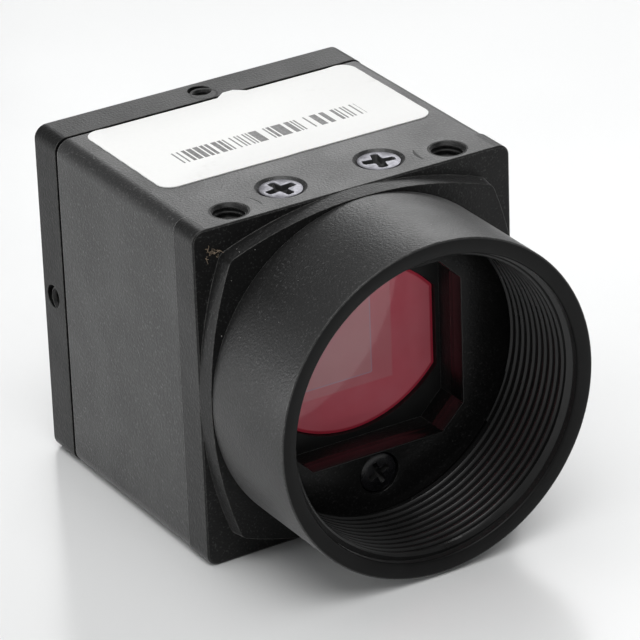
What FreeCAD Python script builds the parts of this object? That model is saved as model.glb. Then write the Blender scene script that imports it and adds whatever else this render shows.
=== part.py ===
import FreeCAD, Part
import math
import os

os.makedirs("parts", exist_ok=True)

V = FreeCAD.Vector

# Machine vision camera with a threaded lens mount. Millimetres.
# While the pieces are drawn, y = 0 is the front plate's face with +y towards the back, and
# z = 0 is the optical axis. export() moves them so that the base lies on z = 0 and the
# box around the whole camera is centred on y = 0.

# ---- lens thread and barrel ----
THREAD_MAJOR_R = 12.7    # 1 inch, 32 turns to the inch
THREAD_MINOR_R = 12.28
BARREL_WALL = 1.5        # outside the thread's root
BARREL_R = THREAD_MAJOR_R + BARREL_WALL
BARREL_L = 11.7          # rim to front plate face
RIM_EDGE = 0.15
LEAD_R = THREAD_MAJOR_R + 0.15   # smooth mouth ahead of the thread
LEAD_L = 0.9
FLOOR_FRONT = -2.5
FLOOR_BACK = -0.8
SPIGOT_R = THREAD_MAJOR_R + 0.3  # pilot that centres the barrel in the front plate
SPIGOT_PLAY = 0.05
WINDOW_W = 16.1
WINDOW_H = 15.0
WINDOW_CUT = 2.0         # corner cut of the eight-sided window
WINDOW_STEP = 0.2        # front plate's opening is larger all round

# ---- body ----
BODY = 2 * (BARREL_R + 0.3)      # square section, width and height
HALF = BODY / 2
PLATE_CORNER_R = 1.0     # long edges of the front plate
SHELL_CORNER_R = 1.25    # long edges of the shell, a touch rounder than the plates
WALL = 1.2               # shell wall
PLATE_T = 2.95           # front plate, face to seam
SEAM = 0.03              # joint between front plate and shell
SHELL_END = 21.45        # shell's back edge
SHADOW_GAP = 0.35        # gap in front of the rear plate
REAR_T = 3.5             # rear plate
EDGE = 0.12              # broken edges
REAR_FACE = SHELL_END + SHADOW_GAP + REAR_T

# ---- boss on the front plate: four shallow arcs meeting in tight corners ----
BOSS_H = 1.35
BOSS_ARC_R = 33.0
BOSS_FOOT = HALF - 0.04  # middle of an arc, at the plate's face
BOSS_TOP = BOSS_FOOT - 0.18
BOSS_CORNER_R = 0.9

# ---- threaded holes and screws ----
M3_R = 1.5
M3_DEPTH = 5.2
M3_X = 10.0
M3_Y = 2.0
EAR_R = 2.6
EAR_SEAM = 0.012
EAR_PLAY = 0.1           # the shell's notch is this much longer towards the middle
TONGUE_HALF = M3_X - EAR_R - SEAM
TONGUE_FRONT = 1.0
M2_R = 1.0
SCREW_PLAY = 0.02
COVER_X = 4.5
COVER_Y = PLATE_T + 0.5
COVER_SCREW_L = 4.4      # below the top face
CSK_R = 2.1
CSK_HEAD_R = 1.85
FLOOR_SCREW_Z = WINDOW_H / 2 + 1.9
FLOOR_HEAD_R = 1.7
HEAD_SINK = 1.4          # rear screws' heads below the rear face
REAR_SCREW_L = 7.9       # under the head
SIDE_HOLE_Y = SHELL_END + SHADOW_GAP + REAR_T / 2 + 0.1
SIDE_HOLE_DEPTH = 2.6
REAR_SCREW_XZ = HALF - 3.1
REAR_BOSS_R = 1.9
POST_L = 7.15            # posts in the shell's corners
POST_END = SHELL_END - 1.3

# ---- optics: the image plane lies a standard distance behind the rim ----
FLANGE_FOCAL = 17.526
IMAGE_Y = FLANGE_FOCAL - BARREL_L
FILTER_FRONT = IMAGE_Y - 4.326
FILTER_T = 1.0
FILTER_HALF_W = 7.85
FILTER_HALF_H = 7.15
FILTER_ARC_R = 10.2
FRAME_FRONT = FILTER_FRONT - 0.4
FRAME_BACK = FILTER_FRONT + 1.9
FRAME_HALF_W = 8.75
FRAME_HALF_H = 8.05
FRAME_PLAY = 0.05
MASK_HALF_W = 5.1
MASK_HALF_H = 4.6
DIE_T = 0.2
GLASS_T = 0.55
GLASS_FRONT = IMAGE_Y - 1.32
PACKAGE_HALF_W = 6.9
PACKAGE_HALF_H = 6.3

# ---- boards ----
BOARD = BODY - 5.0
BOARD_T = 1.2
BOARD_CUT = BOARD - 2 * (REAR_SCREW_XZ - REAR_BOSS_R) + 0.2   # corners clear of the posts
STACK_X = BOARD / 2 - 1.6
STACK_Z = HALF - 9.0
SPACER_FLAT = 1.4
STACK_SCREW_R = 0.8
STACK_SCREW_L = 2.4
STACK_HEAD_FLAT = 1.3
STACK_PLAY = 0.05
BOARD_GAP = 4.2
SENSOR_BOARD_Y = IMAGE_Y + 1.18
PROCESS_BOARD_Y = SENSOR_BOARD_Y + BOARD_T + BOARD_GAP
INTERFACE_BOARD_Y = PROCESS_BOARD_Y + BOARD_T + BOARD_GAP - 0.2
BOARD_END = INTERFACE_BOARD_Y + BOARD_T
LINK_Z = 2.4 - BOARD / 2
PROCESSOR_HALF = 4.5
PROCESSOR_T = 1.4
PROCESSOR_X = -1.5
PROCESSOR_Z = 2.5
MEMORY_HALF_W = 1.9
MEMORY_HALF_H = 2.6
MEMORY_T = 0.9
MEMORY_X = 6.2
MEMORY_Z = 2.0
MEMORY_STEP = 6.4

# ---- sockets at the back ----
USB_Z = -6.6
USB_LOCK_X = 9.25
USB_PROUD = 0.3
IO_Z = 4.6
IO_R = 4.3
IO_BORE_R = 3.5
IO_PROUD = 5.6
PIN_FLAT = 0.25
LAMP_X = 8.3
LAMP_Z = 3.4
LAMP_R = 0.75

# ---- label ----
LABEL_W = 25.0
LABEL_X = 0.3            # stuck on a little off centre
LABEL_FRONT = 8.1
LABEL_BACK = 21.4
LABEL_R = 1.3
LABEL_T = 0.1

Y_SHIFT = (BARREL_L - (REAR_FACE + IO_PROUD)) / 2
Z_SHIFT = HALF


def export(name, shape):
    """Move a piece into the camera's own frame and write it."""
    placed = shape.copy()
    placed.translate(V(0, Y_SHIFT, Z_SHIFT))
    placed.exportStep("parts/" + name + ".step")


def rounded(half_w, half_h, r, y0, y1, x=0.0, z=0.0):
    """Bar along y with a rounded rectangular section."""
    box = Part.makeBox(2 * half_w, y1 - y0, 2 * half_h, V(x - half_w, y0, z - half_h))
    if r <= 0:
        return box
    along = [e for e in box.Edges if abs(e.tangentAt(e.FirstParameter).y) > 0.99]
    return box.makeFillet(r, along)


def cut_corner_bar(half_w, half_h, cut, y0, y1):
    """Bar along y with an eight-sided section."""
    w, h = half_w, half_h
    pts = [(w, h - cut), (w - cut, h), (cut - w, h), (-w, h - cut),
           (-w, cut - h), (cut - w, -h), (w - cut, -h), (w, cut - h)]
    ring = [V(x, y0, z) for x, z in pts]
    return Part.Face(Part.makePolygon(ring + ring[:1])).extrude(V(0, y1 - y0, 0))


def rod_y(r, y0, y1, x=0.0, z=0.0):
    return Part.makeCylinder(r, y1 - y0, V(x, y0, z), V(0, 1, 0))


def rod_z(r, z0, z1, x=0.0, y=0.0):
    return Part.makeCylinder(r, z1 - z0, V(x, y, z0), V(0, 0, 1))


def turned_y(profile):
    """Solid of revolution about the optical axis from (radius, y) corners."""
    pts = [V(r, y, 0) for r, y in profile]
    return Part.Face(Part.makePolygon(pts + pts[:1])).revolve(V(0, 0, 0), V(0, 1, 0), 360)


def turned_z(profile, x, y):
    """Solid of revolution about an upright axis from (radius, z) corners."""
    pts = [V(r, 0, z) for r, z in profile]
    solid = Part.Face(Part.makePolygon(pts + pts[:1])).revolve(V(0, 0, 0), V(0, 0, 1), 360)
    solid.translate(V(x, y, 0))
    return solid


def fuse_all(shapes):
    return shapes[0].fuse(shapes[1:]).removeSplitter() if len(shapes) > 1 else shapes[0]


def solid_of(shape):
    return shape.Solids[0] if len(shape.Solids) == 1 else shape


def upside_down(shape):
    """The same thing on the underside."""
    return shape.mirror(V(0, 0, 0), V(0, 0, 1))


def boss_wire(mid, y):
    """Outline of the boss: four arcs whose corners are rounded."""
    c = mid - BOSS_ARC_R
    big = BOSS_ARC_R - BOSS_CORNER_R
    k = (-2 * abs(c) + math.sqrt(4 * c * c - 8 * (c * c - big * big))) / 4
    ex = k / big * BOSS_ARC_R          # where a corner arc runs into a side arc
    ez = c + (k - c) / big * BOSS_ARC_R
    tip = k + BOSS_CORNER_R / math.sqrt(2)
    edges = []
    for q in range(4):
        def turn(x, z):
            for _ in range(q):
                x, z = z, -x
            return V(x, y, z)
        edges.append(Part.Arc(turn(-ex, ez), turn(0, mid), turn(ex, ez)).toShape())
        edges.append(Part.Arc(turn(ex, ez), turn(tip, tip), turn(ez, ex)).toShape())
    return Part.Wire(edges)


def chamfer_loop(shape, size, y):
    """Break the outer edges that lie in the plane at y."""
    edges = []
    for e in shape.Edges:
        box = e.BoundBox
        if abs(box.YMin - y) > 1e-4 or abs(box.YMax - y) > 1e-4:
            continue
        reach = max(abs(box.XMin), abs(box.XMax), abs(box.ZMin), abs(box.ZMax))
        if reach > HALF - 1e-4 or (box.XLength < 2 and reach > HALF - 1.4):
            edges.append(e)
    return shape.makeChamfer(size, edges)


# ---------------- front plate ----------------
def tongue(half_w, front, lip):
    """Space of the shell's tongue; lip widens it for the seat in the front plate."""
    w, f = half_w + lip, front - lip
    bar = Part.makeBox(2 * w, 8 - f, WALL + 1, V(-w, f, HALF - WALL))
    corners = [e for e in bar.Edges
               if abs(e.tangentAt(e.FirstParameter).z) > 0.99 and e.BoundBox.YMax < f + 0.01]
    return bar.makeFillet(0.7, corners)


def front_plate():
    plate = chamfer_loop(rounded(HALF, HALF, PLATE_CORNER_R, 0, PLATE_T), EDGE, 0)
    boss = Part.makeLoft([boss_wire(BOSS_TOP, -BOSS_H), boss_wire(BOSS_FOOT, 0)], True, True)
    foot = Part.Face(boss_wire(BOSS_FOOT, 0)).extrude(V(0, 0.6, 0))
    # ears round the tapped holes, above and below; a lug for the cover screws above
    ears, taps, screw_holes = [], [], []
    for s in (-1, 1):
        ear = rod_z(EAR_R, HALF - M3_DEPTH - 2, HALF, s * M3_X, M3_Y)
        ears.append(ear.common(Part.makeBox(BODY, 6, BODY, V(-HALF, 0.5, 0))))
        taps.append(rod_z(M3_R, HALF - M3_DEPTH, HALF + 1, s * M3_X, M3_Y))
        screw_holes.append(rod_z(M2_R, HALF - COVER_SCREW_L - 0.4, HALF, s * COVER_X, COVER_Y))
    lug = rounded(TONGUE_HALF - 0.3, 1.9, 0, PLATE_T - 0.5, COVER_Y + 2.15, 0, HALF - WALL - 1.9)
    seat = tongue(TONGUE_HALF, TONGUE_FRONT, SEAM)
    for s in (-1, 1):
        seat = seat.cut(rod_z(EAR_R, HALF - WALL - 1, HALF + 2, s * M3_X, M3_Y))
    body = fuse_all([plate, boss, foot, lug] + ears + [upside_down(e) for e in ears])
    cuts = [seat] + screw_holes + taps + [upside_down(t) for t in taps]
    # pilot bore, window, and the pocket that takes the filter frame from behind
    cuts.append(rod_y(SPIGOT_R + SPIGOT_PLAY, -BOSS_H - 1, FLOOR_BACK))
    cuts.append(cut_corner_bar(WINDOW_W / 2 + WINDOW_STEP, WINDOW_H / 2 + WINDOW_STEP,
                               WINDOW_CUT, FLOOR_BACK - 1, FRAME_FRONT + 0.5))
    cuts.append(rounded(FRAME_HALF_W + FRAME_PLAY, FRAME_HALF_H + FRAME_PLAY, 0.8,
                        FRAME_FRONT, PLATE_T + 4))
    for s in (-1, 1):
        cuts.append(rod_y(M2_R, FLOOR_BACK - 0.5, 2.1, 0, s * FLOOR_SCREW_Z))
    return solid_of(body.cut(cuts).removeSplitter())


# ---------------- lens barrel ----------------
def lens_barrel():
    """Turned ring: rim, smooth mouth, threaded bore at its crest, floor with the window, pilot."""
    rim, seat = -BARREL_L, -BOSS_H
    thread = rim + LEAD_L
    body = turned_y([(0, FLOOR_FRONT), (THREAD_MINOR_R, FLOOR_FRONT), (THREAD_MINOR_R, thread),
                     (LEAD_R, thread - 0.2), (LEAD_R, rim), (BARREL_R - RIM_EDGE, rim),
                     (BARREL_R, rim + RIM_EDGE), (BARREL_R, seat), (SPIGOT_R, seat),
                     (SPIGOT_R, FLOOR_BACK), (0, FLOOR_BACK)])
    cuts = [cut_corner_bar(WINDOW_W / 2, WINDOW_H / 2, WINDOW_CUT, FLOOR_FRONT - 1, FLOOR_BACK + 1)]
    for s in (-1, 1):
        z = s * FLOOR_SCREW_Z
        cuts.append(rod_y(FLOOR_HEAD_R + 0.05, FLOOR_FRONT - 0.5, FLOOR_FRONT + 1.2, 0, z))
        cuts.append(rod_y(M2_R + 0.1, FLOOR_FRONT, FLOOR_BACK + 0.5, 0, z))
    return solid_of(body.cut(cuts))


def cross_recess(width, reach, depth):
    """Cross-shaped recess about z, its mouth just above z = 0."""
    w, r = width / 2, reach
    arm = Part.makeBox(2 * r, 2 * w, depth + 0.2, V(-r, -w, -depth))
    return arm.fuse(Part.makeBox(2 * w, 2 * r, depth + 0.2, V(-w, -r, -depth))).removeSplitter()


def barrel_screw():
    """Low-headed cross-recess screw standing on the floor's counterbore."""
    head_top = FLOOR_FRONT + 0.1
    seat = FLOOR_FRONT + 1.2
    screw = fuse_all([rod_y(FLOOR_HEAD_R, head_top, seat), rod_y(M2_R - SCREW_PLAY, seat, 2.0)])
    recess = cross_recess(0.55, 1.0, 0.7)
    recess.rotate(V(0, 0, 0), V(1, 0, 0), 90)
    recess.rotate(V(0, 0, 0), V(0, 1, 0), 22)
    recess.translate(V(0, head_top, 0))
    return solid_of(screw.cut(recess))


# ---------------- shell ----------------
def housing_shell():
    start = PLATE_T + SEAM
    tube = rounded(HALF, HALF, SHELL_CORNER_R, start, SHELL_END)
    bore = rounded(HALF - WALL, HALF - WALL, 0.5, start - 1, SHELL_END + 1)
    tab = tongue(TONGUE_HALF, TONGUE_FRONT, 0)
    tab = tab.common(Part.makeBox(BODY, start + 0.5, WALL, V(-HALF, 0, HALF - WALL)))
    posts = [rounded(REAR_BOSS_R, REAR_BOSS_R, 0, POST_END - POST_L, POST_END, s * REAR_SCREW_XZ,
                     -s * REAR_SCREW_XZ) for s in (-1, 1)]
    body = fuse_all([tube.cut(bore), tab] + posts)
    cuts = []
    for s in (-1, 1):
        for shift in (0, EAR_PLAY):
            notch = rod_z(EAR_R + EAR_SEAM, HALF - WALL - 1, HALF + 1, s * (M3_X - shift), M3_Y)
            cuts += [notch, upside_down(notch)]
        cuts.append(turned_z([(0, HALF - WALL - 1), (M2_R + 0.1, HALF - WALL - 1),
                              (M2_R + 0.1, HALF - 1.0), (CSK_R, HALF), (0, HALF)],
                             s * COVER_X, COVER_Y))
        cuts.append(rod_y(M2_R, POST_END - POST_L + 1.5, SHELL_END, s * REAR_SCREW_XZ,
                          -s * REAR_SCREW_XZ))
    return solid_of(body.cut(cuts))


def cover_screws():
    """Two countersunk cross-recess screws on top."""
    screws = []
    head, tip = HALF - 0.12, HALF - COVER_SCREW_L
    neck = head - (CSK_HEAD_R - (M2_R - SCREW_PLAY)) * 0.86
    for s, turn in ((-1, 8), (1, -14)):
        screw = turned_z([(0, head), (CSK_HEAD_R, head), (M2_R - SCREW_PLAY, neck),
                          (M2_R - SCREW_PLAY, tip), (0, tip)], 0, 0)
        recess = cross_recess(0.62, 1.3, 0.44)
        recess.rotate(V(0, 0, 0), V(0, 0, 1), turn)
        recess.translate(V(0, 0, head))
        screw = solid_of(screw.cut(recess))
        screw.translate(V(s * COVER_X, COVER_Y, 0))
        screws.append(screw)
    return screws


# ---------------- rear plate ----------------
def usb_outline(grow, y0, y1):
    """Data socket section: a wide cell with cut corners beside a narrow one."""
    g = grow
    pts = [(-6.1 - g, 1.25 + g), (0.2 + g, 1.25 + g), (0.7 + g, 0.75 + g), (1.4 - g, 0.75 + g),
           (1.9 - g, 1.25 + g), (6.1 + g, 1.25 + g), (6.1 + g, -1.25 - g), (-5.3 - g, -1.25 - g),
           (-6.1 - g, -0.45 - g)]
    ring = [V(x, y0, z + USB_Z) for x, z in pts]
    return Part.Face(Part.makePolygon(ring + ring[:1])).extrude(V(0, y1 - y0, 0))


def rear_plate():
    front = SHELL_END + SHADOW_GAP
    plate = rounded(HALF, HALF, PLATE_CORNER_R + 0.1, front, REAR_FACE)
    plate = chamfer_loop(plate, EDGE, REAR_FACE)
    inside = HALF - WALL - 0.1
    collar = rounded(inside, inside, 0.5, SHELL_END - 1.1, front + 0.3)
    collar = collar.cut(rounded(inside - 1.0, inside - 1.0, 0.3, SHELL_END - 2, front + 2))
    body = fuse_all([plate, collar])
    cuts = []
    for k in range(4):
        hole = rod_z(M2_R, HALF - SIDE_HOLE_DEPTH, HALF + 1, 0, SIDE_HOLE_Y)
        hole.rotate(V(0, 0, 0), V(0, 1, 0), 90 * k)
        cuts.append(hole)
    for s in (-1, 1):
        x, z = s * REAR_SCREW_XZ, -s * REAR_SCREW_XZ
        cuts.append(rod_y(M2_R + 0.1, SHELL_END - 2, REAR_FACE + 1, x, z))
        cuts.append(rod_y(FLOOR_HEAD_R + 0.1, REAR_FACE - HEAD_SINK, REAR_FACE + 1, x, z))
        cuts.append(rounded(REAR_BOSS_R + 0.2, REAR_BOSS_R + 0.2, 0, SHELL_END - 2, front, x, z))
        cuts.append(rod_y(M2_R, front - 1, REAR_FACE + 1, s * USB_LOCK_X, USB_Z))
    cuts.append(usb_outline(0.3, front - 1, REAR_FACE + 1))
    cuts.append(rod_y(IO_R - 0.6 + 0.05, front - 1, REAR_FACE + 1, 0, IO_Z))
    cuts.append(rod_y(LAMP_R + 0.03, front - 1, REAR_FACE + 1, LAMP_X, LAMP_Z))
    return solid_of(body.cut(cuts))


def rear_plate_screws():
    out = []
    seat = REAR_FACE - HEAD_SINK
    base = fuse_all([rod_y(M2_R - SCREW_PLAY, seat - REAR_SCREW_L, seat),
                     rod_y(FLOOR_HEAD_R, seat, seat + 1.25)])
    recess = cross_recess(0.55, 1.0, 0.7)
    recess.rotate(V(0, 0, 0), V(1, 0, 0), -90)
    recess.translate(V(0, seat + 1.25, 0))
    base = solid_of(base.cut(recess))
    for s in (-1, 1):
        screw = base.copy()
        screw.translate(V(s * REAR_SCREW_XZ, 0, -s * REAR_SCREW_XZ))
        out.append(screw)
    return out


# ---------------- optics ----------------
def filter_section(half_w, half_h, r, y0, y1):
    """Disc cut straight at both sides: two flats joined by two arcs."""
    c = half_h - r
    h = c + math.sqrt(r * r - half_w * half_w)
    a, b = V(-half_w, y0, h), V(half_w, y0, h)
    d, e = V(half_w, y0, -h), V(-half_w, y0, -h)
    wire = Part.Wire([Part.Arc(a, V(0, y0, half_h), b).toShape(), Part.makeLine(b, d),
                      Part.Arc(d, V(0, y0, -half_h), e).toShape(), Part.makeLine(e, a)])
    return Part.Face(wire).extrude(V(0, y1 - y0, 0))


def filter_frame():
    body = rounded(FRAME_HALF_W, FRAME_HALF_H, 0.75, FRAME_FRONT, FRAME_BACK)
    seat = filter_section(FILTER_HALF_W + 0.05, FILTER_HALF_H + 0.05, FILTER_ARC_R + 0.05,
                          FRAME_FRONT - 1, FILTER_FRONT + FILTER_T)
    mask = rounded(MASK_HALF_W, MASK_HALF_H, 0, FRAME_FRONT, FRAME_BACK + 1)
    return solid_of(body.cut([seat, mask]))


def sensor_parts():
    w, h = PACKAGE_HALF_W, PACKAGE_HALF_H
    seat = GLASS_FRONT + GLASS_T
    package = rounded(w, h, 0, seat, SENSOR_BOARD_Y)
    package = package.cut(rounded(w - 1.5, h - 1.4, 0, seat - 1, IMAGE_Y + DIE_T))
    die = rounded(w - 2.3, h - 2.6, 0, IMAGE_Y, IMAGE_Y + DIE_T)
    glass = rounded(w - 0.7, h - 0.7, 0, GLASS_FRONT, seat)
    gasket = rounded(w + 0.5, h + 0.5, 0, FRAME_BACK, seat + 0.6)
    gasket = gasket.cut([rounded(w, h, 0, GLASS_FRONT, seat + 2),
                         rounded(w - 1.3, h - 1.2, 0, FRAME_BACK - 1, GLASS_FRONT + 1)])
    return package, die, glass, gasket


# ---------------- boards ----------------
def board(y):
    return cut_corner_bar(BOARD / 2, BOARD / 2, BOARD_CUT, y, y + BOARD_T)


def hex_bar(flat, y0, y1, x=0.0, z=0.0):
    """Six-sided bar along y, flat being half the width across its flats."""
    r = flat / math.cos(math.radians(30))
    ring = [V(x + r * math.cos(math.radians(60 * k)), y0, z + r * math.sin(math.radians(60 * k)))
            for k in range(6)]
    return Part.Face(Part.makePolygon(ring + ring[:1])).extrude(V(0, y1 - y0, 0))


def stack():
    """Six-sided spacers between the boards, and the screws that hold the last board."""
    spacers, screws, holes = [], [], []
    levels = [(PLATE_T, SENSOR_BOARD_Y), (SENSOR_BOARD_Y + BOARD_T, PROCESS_BOARD_Y),
              (PROCESS_BOARD_Y + BOARD_T, INTERFACE_BOARD_Y)]
    for s in (-1, 1):
        x, z = s * STACK_X, -s * STACK_Z
        hole = rod_y(STACK_SCREW_R + STACK_PLAY, INTERFACE_BOARD_Y - STACK_SCREW_L - 0.3, BOARD_END, x, z)
        spacers += [hex_bar(SPACER_FLAT, y0, y1, x, z).cut(hole) for y0, y1 in levels]
        holes.append(hole)
        screws.append(fuse_all([
            rod_y(STACK_SCREW_R, INTERFACE_BOARD_Y - STACK_SCREW_L, BOARD_END, x, z),
            hex_bar(STACK_HEAD_FLAT, BOARD_END, BOARD_END + 0.9, x, z)]))
    return spacers, screws, holes


def chip(half_w, half_h, t, y, x, z):
    body = rounded(half_w, half_h, 0, y, y + t, x, z)
    return body


def board_links():
    """Two mated pairs of board-to-board plugs and sockets."""
    plugs, sockets = [], []
    for y0, y1 in ((SENSOR_BOARD_Y + BOARD_T, PROCESS_BOARD_Y),
                   (PROCESS_BOARD_Y + BOARD_T, INTERFACE_BOARD_Y)):
        mid = (y0 + y1) / 2
        body = rounded(5.6, 1.6, 0, mid - 0.5, y1, 0, LINK_Z)
        well = rounded(5.0, 1.0, 0, mid - 1, mid + 1.2, 0, LINK_Z)
        sockets.append(body.cut(well))
        plugs.append(fuse_all([rounded(5.6, 1.6, 0, y0, mid - 0.55, 0, LINK_Z),
                               rounded(4.9, 0.9, 0, mid - 0.8, mid + 1.1, 0, LINK_Z)]))
    return plugs, sockets


# ---------------- sockets at the back ----------------
def usb_socket():
    back = REAR_FACE + USB_PROUD
    start = BOARD_END
    shell = usb_outline(0, start, back).cut(usb_outline(-0.25, start + 0.3, back + 1))
    block = fuse_all([usb_outline(-0.27, start + 0.3, start + 1.5),
                      rounded(2.5, 0.35, 0, start + 1, back - 0.6, -2.4, USB_Z + 0.1),
                      rounded(1.6, 0.35, 0, start + 1, back - 0.6, 3.8, USB_Z + 0.1)])
    return solid_of(shell), solid_of(block)


def io_connector():
    back = REAR_FACE + IO_PROUD
    start = BOARD_END + 0.6
    stem_r = IO_R - 0.6
    shell = turned_y([(IO_BORE_R, start + 1), (stem_r, start + 1), (stem_r, REAR_FACE),
                      (IO_R, REAR_FACE), (IO_R, back), (IO_BORE_R, back)])
    shell = shell.cut(rounded(0.5, 0.4, 0, REAR_FACE + 2.6, back + 1, 0, IO_BORE_R))
    face = REAR_FACE + 1.4
    insert = rod_y(IO_BORE_R - 0.02, BOARD_END, face)
    nut = hex_bar(4.7, SHELL_END - 0.9, SHELL_END + SHADOW_GAP)
    nut = nut.cut(rod_y(stem_r + 0.02, SHELL_END - 2, REAR_FACE))
    pins = []
    for k in range(6):
        a = math.radians(60 * k + 30)
        x, z = 1.9 * math.cos(a), 1.9 * math.sin(a)
        pins.append(hex_bar(PIN_FLAT, face, REAR_FACE + 4.2, x, z))
    parts = [shell, insert, nut] + pins
    for p in parts:
        p.translate(V(0, 0, IO_Z))
    return solid_of(parts[0]), solid_of(parts[1]), solid_of(parts[2]), parts[3:]


def label():
    w = LABEL_W / 2
    sheet = Part.makeBox(2 * w, LABEL_BACK - LABEL_FRONT, LABEL_T, V(LABEL_X - w, LABEL_FRONT, HALF))
    up = [e for e in sheet.Edges if abs(e.tangentAt(e.FirstParameter).z) > 0.99]
    return sheet.makeFillet(LABEL_R, up)


def group(shapes):
    return Part.makeCompound([s for shape in shapes for s in shape.Solids])


spacers, stack_screws, stack_holes = stack()
plugs, sockets = board_links()
package, die, glass, gasket = sensor_parts()
usb_shell, usb_block = usb_socket()
io_shell, io_insert, io_nut, io_pins = io_connector()
interface = board(INTERFACE_BOARD_Y).cut(stack_holes)
process_back = PROCESS_BOARD_Y + BOARD_T

export("front_plate", front_plate())
export("lens_barrel", lens_barrel())
top_screw = barrel_screw()
low_screw = top_screw.copy()
top_screw.translate(V(0, 0, FLOOR_SCREW_Z))
low_screw.translate(V(0, 0, -FLOOR_SCREW_Z))
export("barrel_screws", group([top_screw, low_screw]))
export("housing_shell", housing_shell())
export("cover_screws", group(cover_screws()))
export("rear_plate", rear_plate())
export("rear_plate_screws", group(rear_plate_screws()))
export("label", label())
export("filter_frame", filter_frame())
export("ir_filter", filter_section(FILTER_HALF_W, FILTER_HALF_H, FILTER_ARC_R,
                                   FILTER_FRONT, FILTER_FRONT + FILTER_T))
export("sensor_gasket", gasket)
export("sensor_cover_glass", glass)
export("sensor_package", package)
export("sensor_die", die)
export("sensor_board", board(SENSOR_BOARD_Y))
export("processing_board", board(PROCESS_BOARD_Y))
export("interface_board", interface)
export("board_spacers", group(spacers))
export("stack_screws", group(stack_screws))
export("processor_chip", chip(PROCESSOR_HALF, PROCESSOR_HALF, PROCESSOR_T, process_back,
                              PROCESSOR_X, PROCESSOR_Z))
export("memory_chips", group([chip(MEMORY_HALF_W, MEMORY_HALF_H, MEMORY_T, process_back,
                                   MEMORY_X, MEMORY_Z + s * MEMORY_STEP / 2) for s in (-1, 1)]))
export("board_plugs", group(plugs))
export("board_sockets", group(sockets))
export("data_socket_shell", usb_shell)
export("data_socket_block", usb_block)
export("signal_connector_shell", io_shell)
export("signal_connector_insert", io_insert)
export("signal_connector_nut", io_nut)
export("signal_connector_pins", group(io_pins))
export("status_lamp", chip(0.6, 0.4, 0.5, BOARD_END, LAMP_X, LAMP_Z))
export("light_pipe", rod_y(LAMP_R, BOARD_END + 0.7, REAR_FACE + 0.15, LAMP_X, LAMP_Z))
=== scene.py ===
import math
import random

import bmesh
import bpy
from mathutils import Matrix, Vector


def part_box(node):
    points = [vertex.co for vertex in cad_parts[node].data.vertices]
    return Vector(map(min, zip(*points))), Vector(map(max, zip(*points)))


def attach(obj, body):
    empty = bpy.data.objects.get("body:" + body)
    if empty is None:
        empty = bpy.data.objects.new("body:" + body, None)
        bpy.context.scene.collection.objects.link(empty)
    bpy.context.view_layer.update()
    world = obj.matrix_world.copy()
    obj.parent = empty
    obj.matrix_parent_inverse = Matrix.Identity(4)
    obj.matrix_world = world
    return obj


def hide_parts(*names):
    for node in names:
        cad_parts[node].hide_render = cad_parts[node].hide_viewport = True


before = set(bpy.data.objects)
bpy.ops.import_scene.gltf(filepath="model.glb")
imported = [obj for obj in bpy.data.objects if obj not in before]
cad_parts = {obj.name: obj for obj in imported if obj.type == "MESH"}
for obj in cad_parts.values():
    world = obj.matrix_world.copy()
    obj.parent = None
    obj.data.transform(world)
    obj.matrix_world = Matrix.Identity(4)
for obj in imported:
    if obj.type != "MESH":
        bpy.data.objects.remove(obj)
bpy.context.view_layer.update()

# Lengths in this script are millimetres until they are written into a mesh.
MM = 0.001
scene = bpy.context.scene
scene.view_settings.view_transform = "Standard"


def node_box(name):
    """Lowest and highest corner of a CAD node, in millimetres."""
    low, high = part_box(name)
    return low / MM, high / MM


barrel_low, barrel_high = node_box("lens_barrel")
plate_low = node_box("front_plate")[0]
shell_low, shell_high = node_box("housing_shell")
rear_low, rear_high = node_box("rear_plate")
label_low, label_high = node_box("label")
floor_screws_low, floor_screws_high = node_box("barrel_screws")
cover_low, cover_high = node_box("cover_screws")
rear_screws_low, rear_screws_high = node_box("rear_plate_screws")

AXIS_Z = (barrel_low.z + barrel_high.z) / 2
TOP_Z = shell_high.z
BARREL_R = (barrel_high.z - barrel_low.z) / 2
RIM_Y = barrel_low.y
FLOOR_BACK_Y = barrel_high.y
FACE_Y = FLOOR_BACK_Y + 0.8          # front plate's face, in front of which the barrel's floor ends
FLOOR_FRONT_Y = FLOOR_BACK_Y - 1.7   # the floor is 1.7 thick

# lens thread, 1 inch by 32 turns to the inch
THREAD_ROOT_R = 12.7
THREAD_CREST_R = 12.28
THREAD_PITCH = 25.4 / 32
MOUTH_R = 12.85
MOUTH_L = 0.7
SEAT_Y = plate_low.y                 # boss's front, on which the barrel stands
PILOT_R = 13.0

# eight-sided window in the barrel's floor
WINDOW_HALF_W = 8.05
WINDOW_HALF_H = 7.5
WINDOW_CUT = 2.0

# tapped holes
M3_PITCH, M3_CREST_R, M3_BORE_R = 0.5, 1.23, 1.5
M2_PITCH, M2_CREST_R, M2_BORE_R = 0.4, 0.8, 1.0
M3_X, M3_FROM_FACE, M3_DEPTH = 10.0, 2.0, 5.2
M2_DEPTH = 2.6
M3_Y = FACE_Y + M3_FROM_FACE
M2_Y = (rear_low.y + rear_high.y) / 2 + 0.1
REAR_HALF = (rear_high.x - rear_low.x) / 2

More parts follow.
